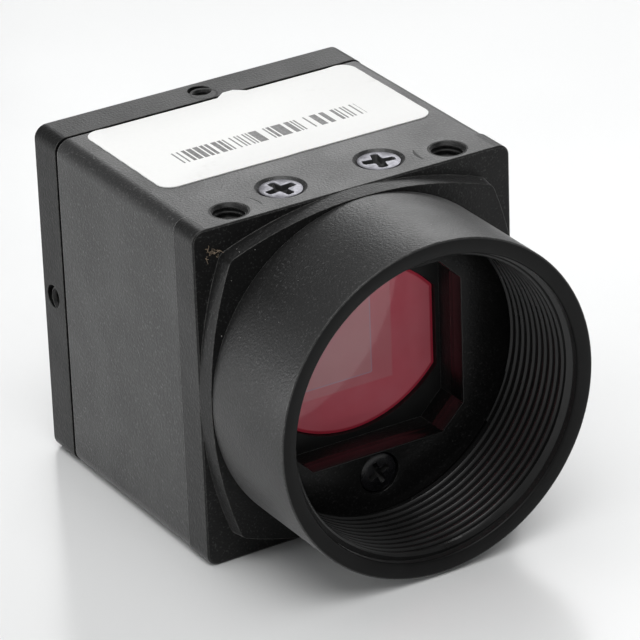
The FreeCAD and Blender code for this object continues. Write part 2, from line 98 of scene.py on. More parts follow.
# screws: heads, shanks and places; each box's corner is one head's radius outside its middle
HEAD_R, SHANK_R = 1.7, 1.0
COUNTERBORE_R, COUNTERBORE_L, SCREW_HOLE_R = 1.75, 1.2, 1.1
FLOOR_SCREW_Z = (floor_screws_high.z - floor_screws_low.z) / 2 - HEAD_R
REAR_SCREW_OFFSET = (rear_screws_high.x - rear_screws_low.x) / 2 - HEAD_R
CAD_COVER_HEAD_R, COVER_HEAD_R, COUNTERSINK_R = 1.85, 1.75, 2.1
COVER_SCREW_X = (cover_high.x - cover_low.x) / 2 - CAD_COVER_HEAD_R
COVER_SCREW_Y = (cover_low.y + cover_high.y) / 2
SMALL_CROSS = (0.24, 0.95, 0.7)      # half width, reach and depth of a recess
LARGE_CROSS = (0.36, 1.3, 0.55)
ROUND_SIDES = 64                     # corners of a screw head or a hole on the top

SKIN = 0.003             # thickness of paint or shade that lies on a face
SUNK = 0.02              # how far its sides reach into the wall


# ---------------------------------------------------------------- meshes
def add_object(name, bm, materials, smooth_angle=35.0):
    """Turn a bmesh in millimetres into an object whose mesh lies in place."""
    bmesh.ops.remove_doubles(bm, verts=bm.verts[:], dist=1e-5)
    bmesh.ops.dissolve_degenerate(bm, edges=bm.edges[:], dist=1e-6)
    bmesh.ops.recalc_face_normals(bm, faces=bm.faces[:])
    bmesh.ops.scale(bm, vec=(MM, MM, MM), verts=bm.verts[:])
    mesh = bpy.data.meshes.new(name)
    bm.to_mesh(mesh)
    bm.free()
    mesh.shade_smooth()
    mesh.set_sharp_from_angle(angle=math.radians(smooth_angle))
    for material in materials if isinstance(materials, tuple) else (materials,):
        mesh.materials.append(material)
    piece = bpy.data.objects.new(name, mesh)
    scene.collection.objects.link(piece)
    return piece


def placed(bm, matrix, start=0):
    """Move what was added to the bmesh since vertex number start."""
    bm.verts.ensure_lookup_table()
    bmesh.ops.transform(bm, matrix=matrix, verts=bm.verts[start:])


def axis_matrix(place, outwards):
    """From a form drawn with +z outwards to a place whose outward direction is given."""
    turn = Vector(outwards).to_track_quat("Z", "Y").to_matrix().to_4x4()
    return Matrix.Translation(place) @ turn


def ring_of(bm, radius, z, count):
    return [bm.verts.new((radius * math.cos(2 * math.pi * i / count),
                          radius * math.sin(2 * math.pi * i / count), z)) for i in range(count)]


def bridge(bm, ring_a, ring_b, slot=0):
    """Quads between two closed rings of as many vertices."""
    count = len(ring_a)
    for i in range(count):
        k = (i + 1) % count
        bm.faces.new((ring_a[i], ring_a[k], ring_b[k], ring_b[i])).material_index = slot


def lathe(bm, profile, count, closed=False, slot=0):
    """Surface of revolution about z from (radius, z) points."""
    rings = [ring_of(bm, r, z, count) for r, z in profile]
    for a, b in zip(rings, rings[1:]):
        bridge(bm, a, b, slot)
    if closed:
        bridge(bm, rings[-1], rings[0], slot)
    return rings


# one turn of a 60 degree inner thread: (share of the pitch, share of the depth)
THREAD_FORM = [(0.03, 0.0), (0.22, 0.0), (0.275, 0.08), (0.535, 0.92),
               (0.58, 1.0), (0.67, 1.0), (0.715, 0.92), (0.86, 0.45), (0.975, 0.08)]
CREST_ROWS = (7, 8, 0, 1)     # rows of the form that make the ridge, painted lighter; the others are its groove, painted darker as shade


def thread_surface(bm, length, pitch, crest_r, root_r, count, mouth_r, mouth_cone, relief=0.0,
                   slot=0, groove_slot=0):
    """Right-hand inner thread about z, from the mouth at z = 0 down to z = -length.

    The mouth narrows to the crest over mouth_cone, and relief is a plain groove at the far end.
    """
    rows = []
    per_turn = len(THREAD_FORM)
    for row in range((math.ceil(length / pitch) + 2) * per_turn):
        share, depth = THREAD_FORM[row % per_turn]
        ring = []
        for i in range(count):
            down = (row // per_turn + share - 1 - i / count) * pitch + pitch
            down = min(max(down - pitch, 0.0), length)
            radius = crest_r + (root_r - crest_r) * depth
            radius = max(radius, mouth_r - (mouth_r - crest_r) / mouth_cone * down)
            if down > length - relief:
                radius = max(radius, root_r)
            if down == 0.0:
                radius = mouth_r
            angle = 2 * math.pi * i / count
            ring.append(bm.verts.new((radius * math.cos(angle), radius * math.sin(angle), -down)))
        rows.append(ring)
    for j in range(len(rows) - 1):
        for i in range(count):
            if i < count - 1:
                quad = (rows[j][i], rows[j][i + 1], rows[j + 1][i + 1], rows[j + 1][i])
            elif j >= per_turn:
                k = j - per_turn
                quad = (rows[j][i], rows[k][0], rows[k + 1][0], rows[j + 1][i])
            else:
                continue
            bm.faces.new(quad).material_index = slot if j % per_turn in CREST_ROWS else groove_slot


def outline_circle(x, y, radius, count):
    def at(grow):
        r = radius + grow
        return [(x + r * math.cos(2 * math.pi * i / count),
                 y + r * math.sin(2 * math.pi * i / count)) for i in range(count)]
    return at


def outline_window(half_w, half_h, cut):
    """Eight-sided window with cut corners."""
    def at(grow):
        w, h = half_w + grow, half_h + grow
        c = cut + grow * (2 - math.sqrt(2))
        return [(w, h - c), (w - c, h), (c - w, h), (-w, h - c),
                (-w, c - h), (c - w, -h), (w - c, -h), (w, c - h)]
    return at


def plate_with_holes(bm, outer, holes, z_top, z_bottom, edge=0.05, wall_slot=0):
    """Flat plate whose upper edges are rounded; outlines take an offset."""
    steps = [(edge, 0.0), (edge * 0.3, edge * 0.3), (0.0, edge)]
    fills = {"top": [], "bottom": []}
    for outline, sign in [(outer, 1)] + [(hole, -1) for hole in holes]:
        loops = []
        for inset, down in steps:
            pts = outline(-inset * sign)
            loops.append([bm.verts.new((x, y, z_top - down)) for x, y in pts])
        loops.append([bm.verts.new((x, y, z_bottom)) for x, y in outline(0.0)])
        for a, b in zip(loops, loops[1:]):
            bridge(bm, a, b, wall_slot if sign < 0 else 0)
        for key, loop in (("top", loops[0]), ("bottom", loops[-1])):
            for a, b in zip(loop, loop[1:] + loop[:1]):
                edge_ab = bm.edges.get((a, b)) or bm.edges.new((a, b))
                fills[key].append(edge_ab)
    for key in fills:
        bmesh.ops.triangle_fill(bm, edges=fills[key], use_beauty=True, use_dissolve=False)


def cross_outline(half_w, reach, rough=0.0, seed=1):
    """Twelve-cornered cross with slightly rounded arm ends; rough wears its edges."""
    rng = random.Random(seed)
    tip = reach + 0.04
    arm = [(reach, -half_w * 0.9), (tip, -half_w * 0.4), (tip, half_w * 0.4), (reach, half_w * 0.9),
           (reach - 0.08, half_w), (half_w * 1.35, half_w * 1.02), (half_w * 1.12, half_w * 1.12),
           (half_w * 1.02, half_w * 1.35)]
    pts = []
    for quarter in range(4):
        for x, y in arm:
            for _ in range(quarter):
                x, y = -y, x
            pts.append((x + rng.uniform(-rough, rough), y + rng.uniform(-rough, rough)))
    return pts


RECESS_SLOT = 1          # material slot of a screw's recess, painted near-black as shade


def screw_head(bm, radius, edge, side, half_w, reach, depth, rough=0.0, seed=1):
    """Head about z with its top at z = 0 and a tapered cross recess.

    side lists the (radius, z) points below the head's rounded edge. Returns the number of its
    first vertex.
    """
    start = len(bm.verts)
    cross = cross_outline(half_w, reach, rough, seed)
    rim = [(radius - edge, 0.0), (radius - edge * 0.3, -edge * 0.3), (radius, -edge)]
    rings = lathe(bm, rim + side, ROUND_SIDES)
    levels = ((1.0, 0.0), (0.965, -0.05), (0.72, -depth * 0.8), (0.38, -depth))   # size and height
    mouth, lip, deep, low = [[bm.verts.new((x * size, y * size, z)) for x, y in cross]
                             for size, z in levels]
    bridge(bm, mouth, lip)
    # the recess's walls and floor are painted near-black as shade
    for a, b in ((lip, deep), (deep, low)):
        bridge(bm, a, b, RECESS_SLOT)
    bm.faces.new(low).material_index = RECESS_SLOT
    fill = []
    for loop in (rings[0], mouth):
        for a, b in zip(loop, loop[1:] + loop[:1]):
            fill.append(bm.edges.get((a, b)) or bm.edges.new((a, b)))
    bmesh.ops.triangle_fill(bm, edges=fill, use_beauty=True, use_dissolve=False)
    bm.faces.new(rings[-1])
    return start


# ---------------------------------------------------------------- materials
def node(tree, kind, inputs=None, **settings):
    """New shader node; inputs are values or sockets, by name or number."""
    made = tree.nodes.new("ShaderNode" + kind)
    for key, value in settings.items():
        setattr(made, key, value)
    for key, value in (inputs or {}).items():
        if isinstance(value, bpy.types.NodeSocket):
            tree.links.new(value, made.inputs[key])
        else:
            made.inputs[key].default_value = value
    return made


def new_material(name, color, roughness, **constants):
    """Material with a Principled shader; constants name its sockets."""
    material = bpy.data.materials.new(name)
    material.use_nodes = True
    shader = material.node_tree.nodes["Principled BSDF"]
    shader.inputs["Base Color"].default_value = (*color, 1)
    shader.inputs["Roughness"].default_value = roughness
    for key, value in constants.items():
        shader.inputs[key.replace("_", " ")].default_value = value
    return material, material.node_tree, shader


def grey(level):
    return (level, level, level)


def place_in_metres(tree):
    return node(tree, "TexCoord").outputs["Object"]


def noise(tree, size_mm, detail=2.0, rough=0.5, place=None):
    """Noise whose grains are about size_mm across."""
    place = place or place_in_metres(tree)
    made = node(tree, "TexNoise", {"Vector": place, "Scale": 1 / (size_mm * MM), "Detail": detail,
                                   "Roughness": rough})
    return made.outputs["Fac"]


def ramp(tree, value, low, high, out_low, out_high):
    """Value between low and high brought to the range between out_low and out_high."""
    made = node(tree, "MapRange", {"Value": value, "From Min": low, "From Max": high,
                                   "To Min": out_low, "To Max": out_high})
    return made.outputs["Result"]


def blend_color(tree, share, a, b):
    """Mix of two colours, each a socket or three numbers."""
    color_a, color_b, color_out = 6, 7, 2            # the Mix node's colour sockets
    made = node(tree, "Mix", data_type="RGBA")
    tree.links.new(share, made.inputs[0])
    for index, value in ((color_a, a), (color_b, b)):
        if isinstance(value, bpy.types.NodeSocket):
            tree.links.new(value, made.inputs[index])
        else:
            made.inputs[index].default_value = (*value, 1)
    return made.outputs[color_out]


def math_node(tree, operation, a, b):
    return node(tree, "Math", {0: a, 1: b}, operation=operation).outputs[0]


def bump(tree, height, distance_mm, strength, normal=None):
    inputs = {"Height": height, "Distance": distance_mm * MM, "Strength": strength}
    if normal is not None:
        inputs["Normal"] = normal
    return node(tree, "Bump", inputs).outputs["Normal"]


def round_edges(tree, radius_mm):
    return node(tree, "Bevel", {"Radius": radius_mm * MM}, samples=4).outputs["Normal"]


def edge_share(tree, rounded):
    """1 where the rounded normal leaves the true one, so along edges."""
    true = node(tree, "NewGeometry").outputs["True Normal"]
    dot = node(tree, "VectorMath", {0: rounded, 1: true}, operation="DOT_PRODUCT").outputs["Value"]
    return ramp(tree, dot, 0.995, 0.86, 0.0, 1.0)


def blasted_black(name, black, roughness, ior, depth_mm=0.06, edges=True, painted_glint=8.0, sheen=0.4):
    """Finely blasted, black anodised aluminium: grain, smudges, specks painted lighter as glints,
    and edges painted lighter, partly as rubbed wear and partly as painted highlight.
    """
    material, tree, shader = new_material(name, grey(black), roughness, IOR=ior, Sheen_Weight=sheen,
                                          Sheen_Roughness=0.3)
    place = place_in_metres(tree)
    grain = noise(tree, BLAST_GRAIN, 2.0, 0.6, place)
    glint_noise = noise(tree, BLAST_GRAIN * 0.9, 1.0, 0.5, place)
    smudge = noise(tree, 5.0, 3.0, 0.55, place)
    # painted highlight: specks painted lighter in the colour as glints of the blasted grain
    painted_glint_mask = ramp(tree, glint_noise, 0.6, 0.74, 0.0, 1.0)
    paint = blend_color(tree, painted_glint_mask, grey(black), grey(black * painted_glint))
    smudged = ramp(tree, smudge, 0.45, 0.7, 0.0, 0.5)
    paint = blend_color(tree, smudged, paint, grey(black * 1.8))
    rounded = None
    if edges:
        rounded = round_edges(tree, 0.1)
        # edges painted lighter: partly rubbed wear, partly painted highlight
        wear_and_highlight_here = ramp(tree, noise(tree, 0.4, 4.0, 0.6, place), 0.4, 0.6, 0.25, 1.0)
        edge_wear_and_highlight = math_node(tree, "MULTIPLY", edge_share(tree, rounded), wear_and_highlight_here)
        paint = blend_color(tree, edge_wear_and_highlight, paint, EDGE_WEAR_AND_HIGHLIGHT)
    tree.links.new(paint, shader.inputs["Base Color"])
    tree.links.new(ramp(tree, smudge, 0.35, 0.7, roughness + 0.04, roughness - 0.05),
                   shader.inputs["Roughness"])
    tree.links.new(bump(tree, grain, depth_mm, 0.6, rounded), shader.inputs["Normal"])
    return material


def metal(name, color, roughness, scratch_mm):
    """Bare metal with small scratches and stains."""
    material, tree, shader = new_material(name, color, roughness, Metallic=1.0)
    place = place_in_metres(tree)
    grain = noise(tree, scratch_mm, 5.0, 0.65, place)
    rounded = round_edges(tree, 0.05)
    stained = ramp(tree, grain, 0.4, 0.7, 0.0, 1.0)
    tree.links.new(blend_color(tree, stained, color, tuple(c * 0.75 for c in color)),
                   shader.inputs["Base Color"])
    tree.links.new(ramp(tree, grain, 0.3, 0.7, roughness - 0.06, roughness + 0.1),
                   shader.inputs["Roughness"])
    tree.links.new(bump(tree, grain, 0.004, 0.4, rounded), shader.inputs["Normal"])
    return material


def moulded(name, color, roughness, grain_mm=0.15, depth_mm=0.004, spread=1.3, **constants):
    """Plastic, rubber, ceramic or lacquer with a fine skin."""
    material, tree, shader = new_material(name, color, roughness, **constants)
    place = place_in_metres(tree)
    grain = noise(tree, grain_mm, 3.0, 0.55, place)
    cloud = noise(tree, grain_mm * 14, 2.0, 0.5, place)
    rounded = round_edges(tree, 0.05)
    clouded = ramp(tree, cloud, 0.35, 0.7, 0.0, 1.0)
    tree.links.new(blend_color(tree, clouded, color, tuple(min(1.0, c * spread) for c in color)),
                   shader.inputs["Base Color"])
    tree.links.new(ramp(tree, cloud, 0.3, 0.7, roughness - 0.04, roughness + 0.06),
                   shader.inputs["Roughness"])
    tree.links.new(bump(tree, grain, depth_mm, 0.4, rounded), shader.inputs["Normal"])
    return material


def board_lacquer(name):
    """Circuit board: green lacquer over faint copper tracks."""
    material, tree, shader = new_material(name, (0.012, 0.09, 0.035), 0.3)
    place = place_in_metres(tree)
    tracks = node(tree, "TexBrick", {
        "Vector": place, "Scale": 1 / (2.4 * MM), "Mortar Size": 0.06,
        "Color1": (0.012, 0.085, 0.033, 1), "Color2": (0.015, 0.1, 0.04, 1),
        "Mortar": (0.04, 0.17, 0.06, 1)})
    tree.links.new(tracks.outputs["Color"], shader.inputs["Base Color"])
    tree.links.new(bump(tree, tracks.outputs["Fac"], 0.01, 0.3), shader.inputs["Normal"])
    return material


def label_paper(name):
    """Matt white paper with a block of plain grey bars and faint smudges."""
    material, tree, shader = new_material(name, (0.9, 0.9, 0.885), 0.55, IOR=1.45)
    place = place_in_metres(tree)
    axes = node(tree, "SeparateXYZ", {0: place})
    across = math_node(tree, "DIVIDE", axes.outputs["X"], MM)
    along = math_node(tree, "DIVIDE", axes.outputs["Y"], MM)
    cell = math_node(tree, "FLOOR", math_node(tree, "DIVIDE", across, BAR_W), 0.0)
    chance = node(tree, "TexWhiteNoise", {"W": cell}, noise_dimensions="1D").outputs["Value"]
    ink = math_node(tree, "GREATER_THAN", chance, 0.45)
    for value, low, high in ((across, BARS_X[0], BARS_X[1]), (along, BARS_Y[0], BARS_Y[1])):
        ink = math_node(tree, "MULTIPLY", ink, math_node(tree, "GREATER_THAN", value, low))
        ink = math_node(tree, "MULTIPLY", ink, math_node(tree, "LESS_THAN", value, high))
    fibre = noise(tree, 0.25, 4.0, 0.6, place)
    smudge = ramp(tree, noise(tree, 3.0, 4.0, 0.6, place), 0.66, 0.8, 0.0, 0.25)
    paper = blend_color(tree, fibre, (0.88, 0.88, 0.87), (0.93, 0.93, 0.915))
    dirty = blend_color(tree, smudge, paper, (0.55, 0.54, 0.5))
    share = math_node(tree, "MULTIPLY", ink, ramp(tree, fibre, 0.3, 0.7, 0.75, 0.95))
    tree.links.new(blend_color(tree, share, dirty, (0.09, 0.09, 0.09)), shader.inputs["Base Color"])
    tree.links.new(bump(tree, noise(tree, 2.2, 2.0, 0.5, place), 0.05, 0.25,
                        bump(tree, fibre, 0.004, 0.4)), shader.inputs["Normal"])
    return material


def coated_glass(name):
    """Pinkish red filter: deeper at its ground edge, with the sensor behind it painted on as paler
    reflection.

    The two paler patches are painted reflection; they end at the lines on the glass beyond which
    the sensor's cover and the sensor itself stop, as seen from the camera's side. Thin painted
    highlight lines run along the ends of the inner patch. x and z are measured from the axis.
    """
    material, tree, shader = new_material(name, (0.8, 0.15, 0.2), 0.07, IOR=1.5)
    place = place_in_metres(tree)
    axes = node(tree, "SeparateXYZ", {0: place})
    across = math_node(tree, "DIVIDE", axes.outputs["X"], MM)
    up = math_node(tree, "SUBTRACT", math_node(tree, "DIVIDE", axes.outputs["Z"], MM), AXIS_Z)
    x = math_node(tree, "ABSOLUTE", across, 0.0)
    z = math_node(tree, "ABSOLUTE", up, 0.0)
    cloud = noise(tree, 3.5, 2.0, 0.5, place)
    color = blend_color(tree, ramp(tree, cloud, 0.35, 0.65, 0.0, 1.0), (0.97, 0.19, 0.25),
                        (0.99, 0.23, 0.29))

    def reflection_patch(right, low, soft, fade):
        """1 above and to the left of a corner, fading towards the far left."""
        over = math_node(tree, "MAXIMUM", math_node(tree, "SUBTRACT", across, right),
                         math_node(tree, "SUBTRACT", low, up))
        near = ramp(tree, over, -soft, soft, 1.0, 0.0)
        return math_node(tree, "MULTIPLY", near, ramp(tree, across, -7.0, -7.0 + fade, 0.4, 1.0))

    # painted reflection: two paler patches of the sensor behind the glass
    for right, low, soft, share, paler in ((3.95, -3.5, 0.09, 0.3, (0.92, 0.5, 0.52)),
                                           (2.0, -2.6, 0.07, 0.38, (0.95, 0.62, 0.64))):
        painted_reflection = math_node(tree, "MULTIPLY", reflection_patch(right, low, soft, 4.0), share)
        color = blend_color(tree, painted_reflection, color, paler)
    # painted highlight: thin light lines along the ends of the inner patch
    for value, line, side, other, limit in ((across, 2.02, "GREATER_THAN", up, -2.6),
                                            (up, -2.62, "LESS_THAN", across, 2.0)):
        off = math_node(tree, "ABSOLUTE", math_node(tree, "SUBTRACT", value, line), 0.0)
        painted_highlight_line = math_node(tree, "MULTIPLY", ramp(tree, off, 0.02, 0.09, 0.55, 0.0),
                           math_node(tree, side, other, limit))
        color = blend_color(tree, painted_highlight_line, color, (0.8, 0.62, 0.78))
    from_centre = math_node(tree, "POWER", math_node(tree, "ADD", z, FILTER_ARC_DROP), 2.0)
    reach = math_node(tree, "POWER",
                      math_node(tree, "ADD", math_node(tree, "MULTIPLY", x, x), from_centre), 0.5)
    near_arc = math_node(tree, "SUBTRACT", FILTER_ARC_R, reach)
    near_side = math_node(tree, "SUBTRACT", FILTER_HALF_W, x)
    rim = ramp(tree, math_node(tree, "MINIMUM", near_arc, near_side), 0.18, 0.3, 1.0, 0.0)
    tree.links.new(blend_color(tree, rim, color, (0.72, 0.05, 0.09)), shader.inputs["Base Color"])
    tree.links.new(ramp(tree, noise(tree, 0.5, 3.0, 0.6, place), 0.4, 0.7, 0.05, 0.09),
                   shader.inputs["Roughness"])
    return material


def clear_glass(name, color, alpha):
    material, tree, shader = new_material(name, color, 0.04, IOR=1.5, Alpha=alpha)
    place = place_in_metres(tree)
    tree.links.new(ramp(tree, noise(tree, 1.0, 3.0, 0.6, place), 0.4, 0.7, 0.03, 0.08),
                   shader.inputs["Roughness"])
    return material


# outline of the filter: straight sides, arcs above and below
filter_low, filter_high = node_box("ir_filter")
FILTER_HALF_W = (filter_high.x - filter_low.x) / 2
FILTER_ARC_R = 10.2
FILTER_ARC_DROP = FILTER_ARC_R - (filter_high.z - filter_low.z) / 2

# block of bars on the label, and the torn tab at its back
LABEL_MID_X = (label_low.x + label_high.x) / 2
BARS_X = (LABEL_MID_X - 8.7, LABEL_MID_X + 8.3)
BARS_Y = (label_low.y + 3.5, label_low.y + 5.7)
BAR_W = 0.15
TAB_X, TAB_L = (LABEL_MID_X + 0.7, LABEL_MID_X + 2.2), 0.75

EDGE_WEAR_AND_HIGHLIGHT = (0.15, 0.148, 0.143)     # lighter edges: black rubbed off by handling, and painted highlight where edges catch light
BLAST_GRAIN = 0.2                    # size of the blasted grain
body_black = blasted_black("body_black", 0.005, 0.4, 1.36)
shell_black = blasted_black("shell_black", 0.01, 0.42, 1.56)
shell_flat = blasted_black("shell_flat", 0.01, 0.42, 1.56, edges=False)
rear_black = blasted_black("rear_black", 0.004, 0.4, 1.33, sheen=0.2)
barrel_black = blasted_black("barrel_black", 0.006, 0.4, 1.52)
inner_black = blasted_black("inner_black", 0.0045, 0.38, 1.36, 0.05, edges=False)
rim_black = moulded("rim_black", grey(0.003), 0.42, 0.2, 0.002, 2.0, IOR=1.28)
# lit and shaded copies of the inside black: the thread's ridge painted lighter, its groove painted
# darker as shade
ridge_painted_lighter = moulded("ridge_painted_lighter", grey(0.008), 0.3, 0.2, 0.004, 1.6, IOR=1.47)
groove_painted_shade = moulded("groove_painted_shade", grey(0.002), 0.45, 0.2, 0.004, 1.6, IOR=1.25)
# painted light: the mouth is a lighter copy of the inside black, as lit from above
mouth_painted_lighter = blasted_black("mouth_painted_lighter", 0.008, 0.36, 1.4, 0.04, edges=False, painted_glint=4.0)
screw_bright = metal("screw_bright", (0.2, 0.198, 0.22), 0.36, 0.25)
# near-black painted shade for the screw recesses, the ear slots and the hole mouths
painted_shade_black = moulded("painted_shade_black", grey(0.01), 0.6)
screw_black = moulded("screw_black", (0.006, 0.006, 0.007), 0.25, 0.12, 0.004, 1.8, IOR=1.5)
frame_black = moulded("frame_black", grey(0.008), 0.55)
gasket_rubber = moulded("gasket_rubber", grey(0.012), 0.8, 0.1, 0.006)
package_ceramic = moulded("package_ceramic", (0.12, 0.1, 0.085), 0.6, 0.08, 0.004, 1.2)
die_dark = moulded("die_dark", (0.05, 0.035, 0.06), 0.12, 0.5, 0.001, 1.5, IOR=1.9)
board_green = board_lacquer("board_green")
spacer_brass = metal("spacer_brass", (0.58, 0.4, 0.14), 0.3, 0.2)
pin_brass = metal("pin_brass", (0.72, 0.5, 0.18), 0.22, 0.12)
socket_metal = metal("socket_metal", (0.62, 0.61, 0.59), 0.3, 0.22)
chip_black = moulded("chip_black", (0.016, 0.016, 0.018), 0.6, 0.07, 0.006)
lamp_clear = moulded("lamp_clear", (0.45, 0.58, 0.5), 0.25, 0.3, 0.002, 1.2, Alpha=0.85)
window_black = moulded("window_black", grey(0.006), 0.2, 0.4, 0.002, 1.5, IOR=1.42)
filter_glass = coated_glass("filter_glass")
cover_glass = clear_glass("cover_glass", (0.75, 0.78, 0.8), 0.25)
paper = label_paper("label_white")
dust_white = moulded("dust_white", (0.62, 0.61, 0.58), 0.9, 0.03, 0.004, 1.2)
lint_brown = moulded("lint_brown", (0.27, 0.21, 0.15), 0.9, 0.05, 0.004, 1.8)

carried = {
    "front_plate": body_black, "housing_shell": shell_black, "rear_plate": rear_black,
    "filter_frame": frame_black, "ir_filter": filter_glass, "sensor_gasket": gasket_rubber,
    "sensor_cover_glass": cover_glass, "sensor_package": package_ceramic, "sensor_die": die_dark,
    "sensor_board": board_green, "processing_board": board_green, "interface_board": board_green,
    "board_spacers": spacer_brass, "stack_screws": screw_bright, "processor_chip": chip_black,
    "memory_chips": chip_black, "board_plugs": frame_black, "board_sockets": frame_black,
    "data_socket_shell": socket_metal, "data_socket_block": frame_black,
    "signal_connector_shell": socket_metal, "signal_connector_insert": frame_black,
    "signal_connector_nut": socket_metal, "signal_connector_pins": pin_brass,
    "status_lamp": lamp_clear, "light_pipe": lamp_clear, "lens_barrel": barrel_black,
    "barrel_screws": screw_black, "cover_screws": screw_bright, "rear_plate_screws": screw_black,
    "label": paper,
}
for name, material in carried.items():
    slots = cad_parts[name].data.materials
    slots.clear()
    slots.append(material)


# ---------------------------------------------------------------- lens barrel
# material slots, after slot 0 for the floor and the hidden back
POLISHED_SLOT = 1        # the window's milled walls
THREAD_SLOT = 2          # the ridge of the thread, painted lighter as lit
MOUTH_SLOT = 3           # the smooth mouth ahead of it, painted lighter as lit from above
RIM_SLOT = 4             # the flat front rim
OUTSIDE_SLOT = 5         # the barrel's outside
GROOVE_SLOT = 6          # the groove of the thread, painted darker as shade
BARREL_SIDES = 320


def lens_barrel():
    """Turned ring with its real thread, and the floor with the eight-sided window."""
    bm = bmesh.new()
    # drawn with z = 0 at the rim and everything behind it below
    floor_z = RIM_Y - FLOOR_FRONT_Y
    back_z = RIM_Y - FLOOR_BACK_Y
    seat_z = RIM_Y - SEAT_Y
    edge, lip, chamfer = 0.15, 0.2, 0.05     # outer edge, inner edge, edge at the seat
    thread_surface(bm, -floor_z - MOUTH_L, THREAD_PITCH, THREAD_CREST_R, THREAD_ROOT_R,
                   BARREL_SIDES, MOUTH_R, 0.25, relief=0.5, slot=THREAD_SLOT,
                   groove_slot=GROOVE_SLOT)
    bmesh.ops.translate(bm, vec=(0, 0, -MOUTH_L), verts=bm.verts[:])
    lathe(bm, [(MOUTH_R, -MOUTH_L), (MOUTH_R, -lip)], BARREL_SIDES, slot=MOUTH_SLOT)
    lathe(bm, [(MOUTH_R, -lip), (MOUTH_R + 0.03, -0.11), (MOUTH_R + 0.09, -0.04),
               (MOUTH_R + 0.17, 0.0), (BARREL_R - edge, 0.0)], BARREL_SIDES, slot=RIM_SLOT)
    lathe(bm, [(BARREL_R - edge, 0.0), (BARREL_R - edge * 0.45, -edge * 0.12),
               (BARREL_R - edge * 0.12, -edge * 0.45), (BARREL_R, -edge),
               (BARREL_R, seat_z + chamfer), (BARREL_R - chamfer, seat_z)],
          BARREL_SIDES, slot=OUTSIDE_SLOT)
    lathe(bm, [(BARREL_R - chamfer, seat_z), (PILOT_R, seat_z), (PILOT_R, back_z),
               (THREAD_ROOT_R, back_z), (THREAD_ROOT_R, floor_z)], BARREL_SIDES)
    step_z = floor_z - COUNTERBORE_L
    for top, bottom, hole_r, soft in ((floor_z, step_z, COUNTERBORE_R, 0.06),
                                      (step_z, back_z, SCREW_HOLE_R, 0.01)):
        holes = [outline_window(WINDOW_HALF_W, WINDOW_HALF_H, WINDOW_CUT)]
        holes += [outline_circle(0, s * FLOOR_SCREW_Z, hole_r, 48) for s in (-1, 1)]
        plate_with_holes(bm, outline_circle(0, 0, THREAD_ROOT_R + 0.02, 160), holes, top, bottom,
                         soft, POLISHED_SLOT)
    placed(bm, axis_matrix((0, RIM_Y, AXIS_Z), (0, -1, 0)))
    looks = (inner_black, window_black, ridge_painted_lighter, mouth_painted_lighter, rim_black, barrel_black,
             groove_painted_shade)
    piece = add_object("lens_barrel_turned", bm, looks, 28)
    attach(piece, "root")
    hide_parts("lens_barrel")


# ---------------------------------------------------------------- screws
def turned(degrees):
    return Matrix.Rotation(math.radians(degrees), 4, "Z")


def barrel_screws():
    bm = bmesh.new()
    side = [(HEAD_R, -1.05), (SHANK_R, -1.1), (SHANK_R, -4.3)]
    for s, turn in ((-1, 24), (1, -10)):
        start = screw_head(bm, HEAD_R, 0.22, side, *SMALL_CROSS)
        place = (0, floor_screws_low.y, AXIS_Z + s * FLOOR_SCREW_Z)
        placed(bm, axis_matrix(place, (0, -1, 0)) @ turned(turn), start)
    piece = add_object("barrel_screws_cross", bm, (screw_black, painted_shade_black))
    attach(piece, "root")
    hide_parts("barrel_screws")


def cover_screws():
    bm = bmesh.new()
    cone = [(COVER_HEAD_R, -0.1), (SHANK_R, -0.85), (SHANK_R, -4.2)]
    for s, turn, rough in ((-1, 8, 0.0), (1, -14, 0.045)):
        start = screw_head(bm, COVER_HEAD_R, 0.06, cone, *LARGE_CROSS, rough, seed=5)
        place = (s * COVER_SCREW_X, COVER_SCREW_Y, cover_high.z)
        placed(bm, Matrix.Translation(place) @ turned(turn), start)
    piece = add_object("cover_screws_cross", bm, (screw_bright, painted_shade_black))
    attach(piece, "root")
    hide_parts("cover_screws")


def rear_screws():
    bm = bmesh.new()
    side = [(HEAD_R, -1.2), (SHANK_R, -1.25), (SHANK_R, -8.0)]
    for s, turn in ((-1, 30), (1, 11)):
        start = screw_head(bm, HEAD_R, 0.22, side, *SMALL_CROSS)
        offset = s * REAR_SCREW_OFFSET
        place = (offset, rear_screws_high.y, AXIS_Z - offset)
        placed(bm, axis_matrix(place, (0, 1, 0)) @ turned(turn), start)
    piece = add_object("rear_plate_screws_cross", bm, (screw_black, painted_shade_black))
    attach(piece, "root")
    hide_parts("rear_plate_screws")


# ---------------------------------------------------------------- tapped holes
def thread_sleeve(bm, place, outwards, depth, pitch, crest_r, bore_r, count):
    """Thread turns inside a plain bore, as a closed sleeve whose back is hidden in the wall."""
    start = len(bm.verts)
    gap, hidden = 0.012, 0.03
    inner_r, outer_r = bore_r - gap, bore_r + hidden
    thread_surface(bm, depth, pitch, crest_r, inner_r, count, inner_r, 0.3)
    lathe(bm, [(inner_r, 0.0), (outer_r, -gap), (outer_r, -depth), (inner_r, -depth)], count)
    bm.faces.new(ring_of(bm, inner_r, -depth + gap, count))
    placed(bm, Matrix.Translation((0, 0, -gap)), start)
    placed(bm, axis_matrix(place, outwards), start)


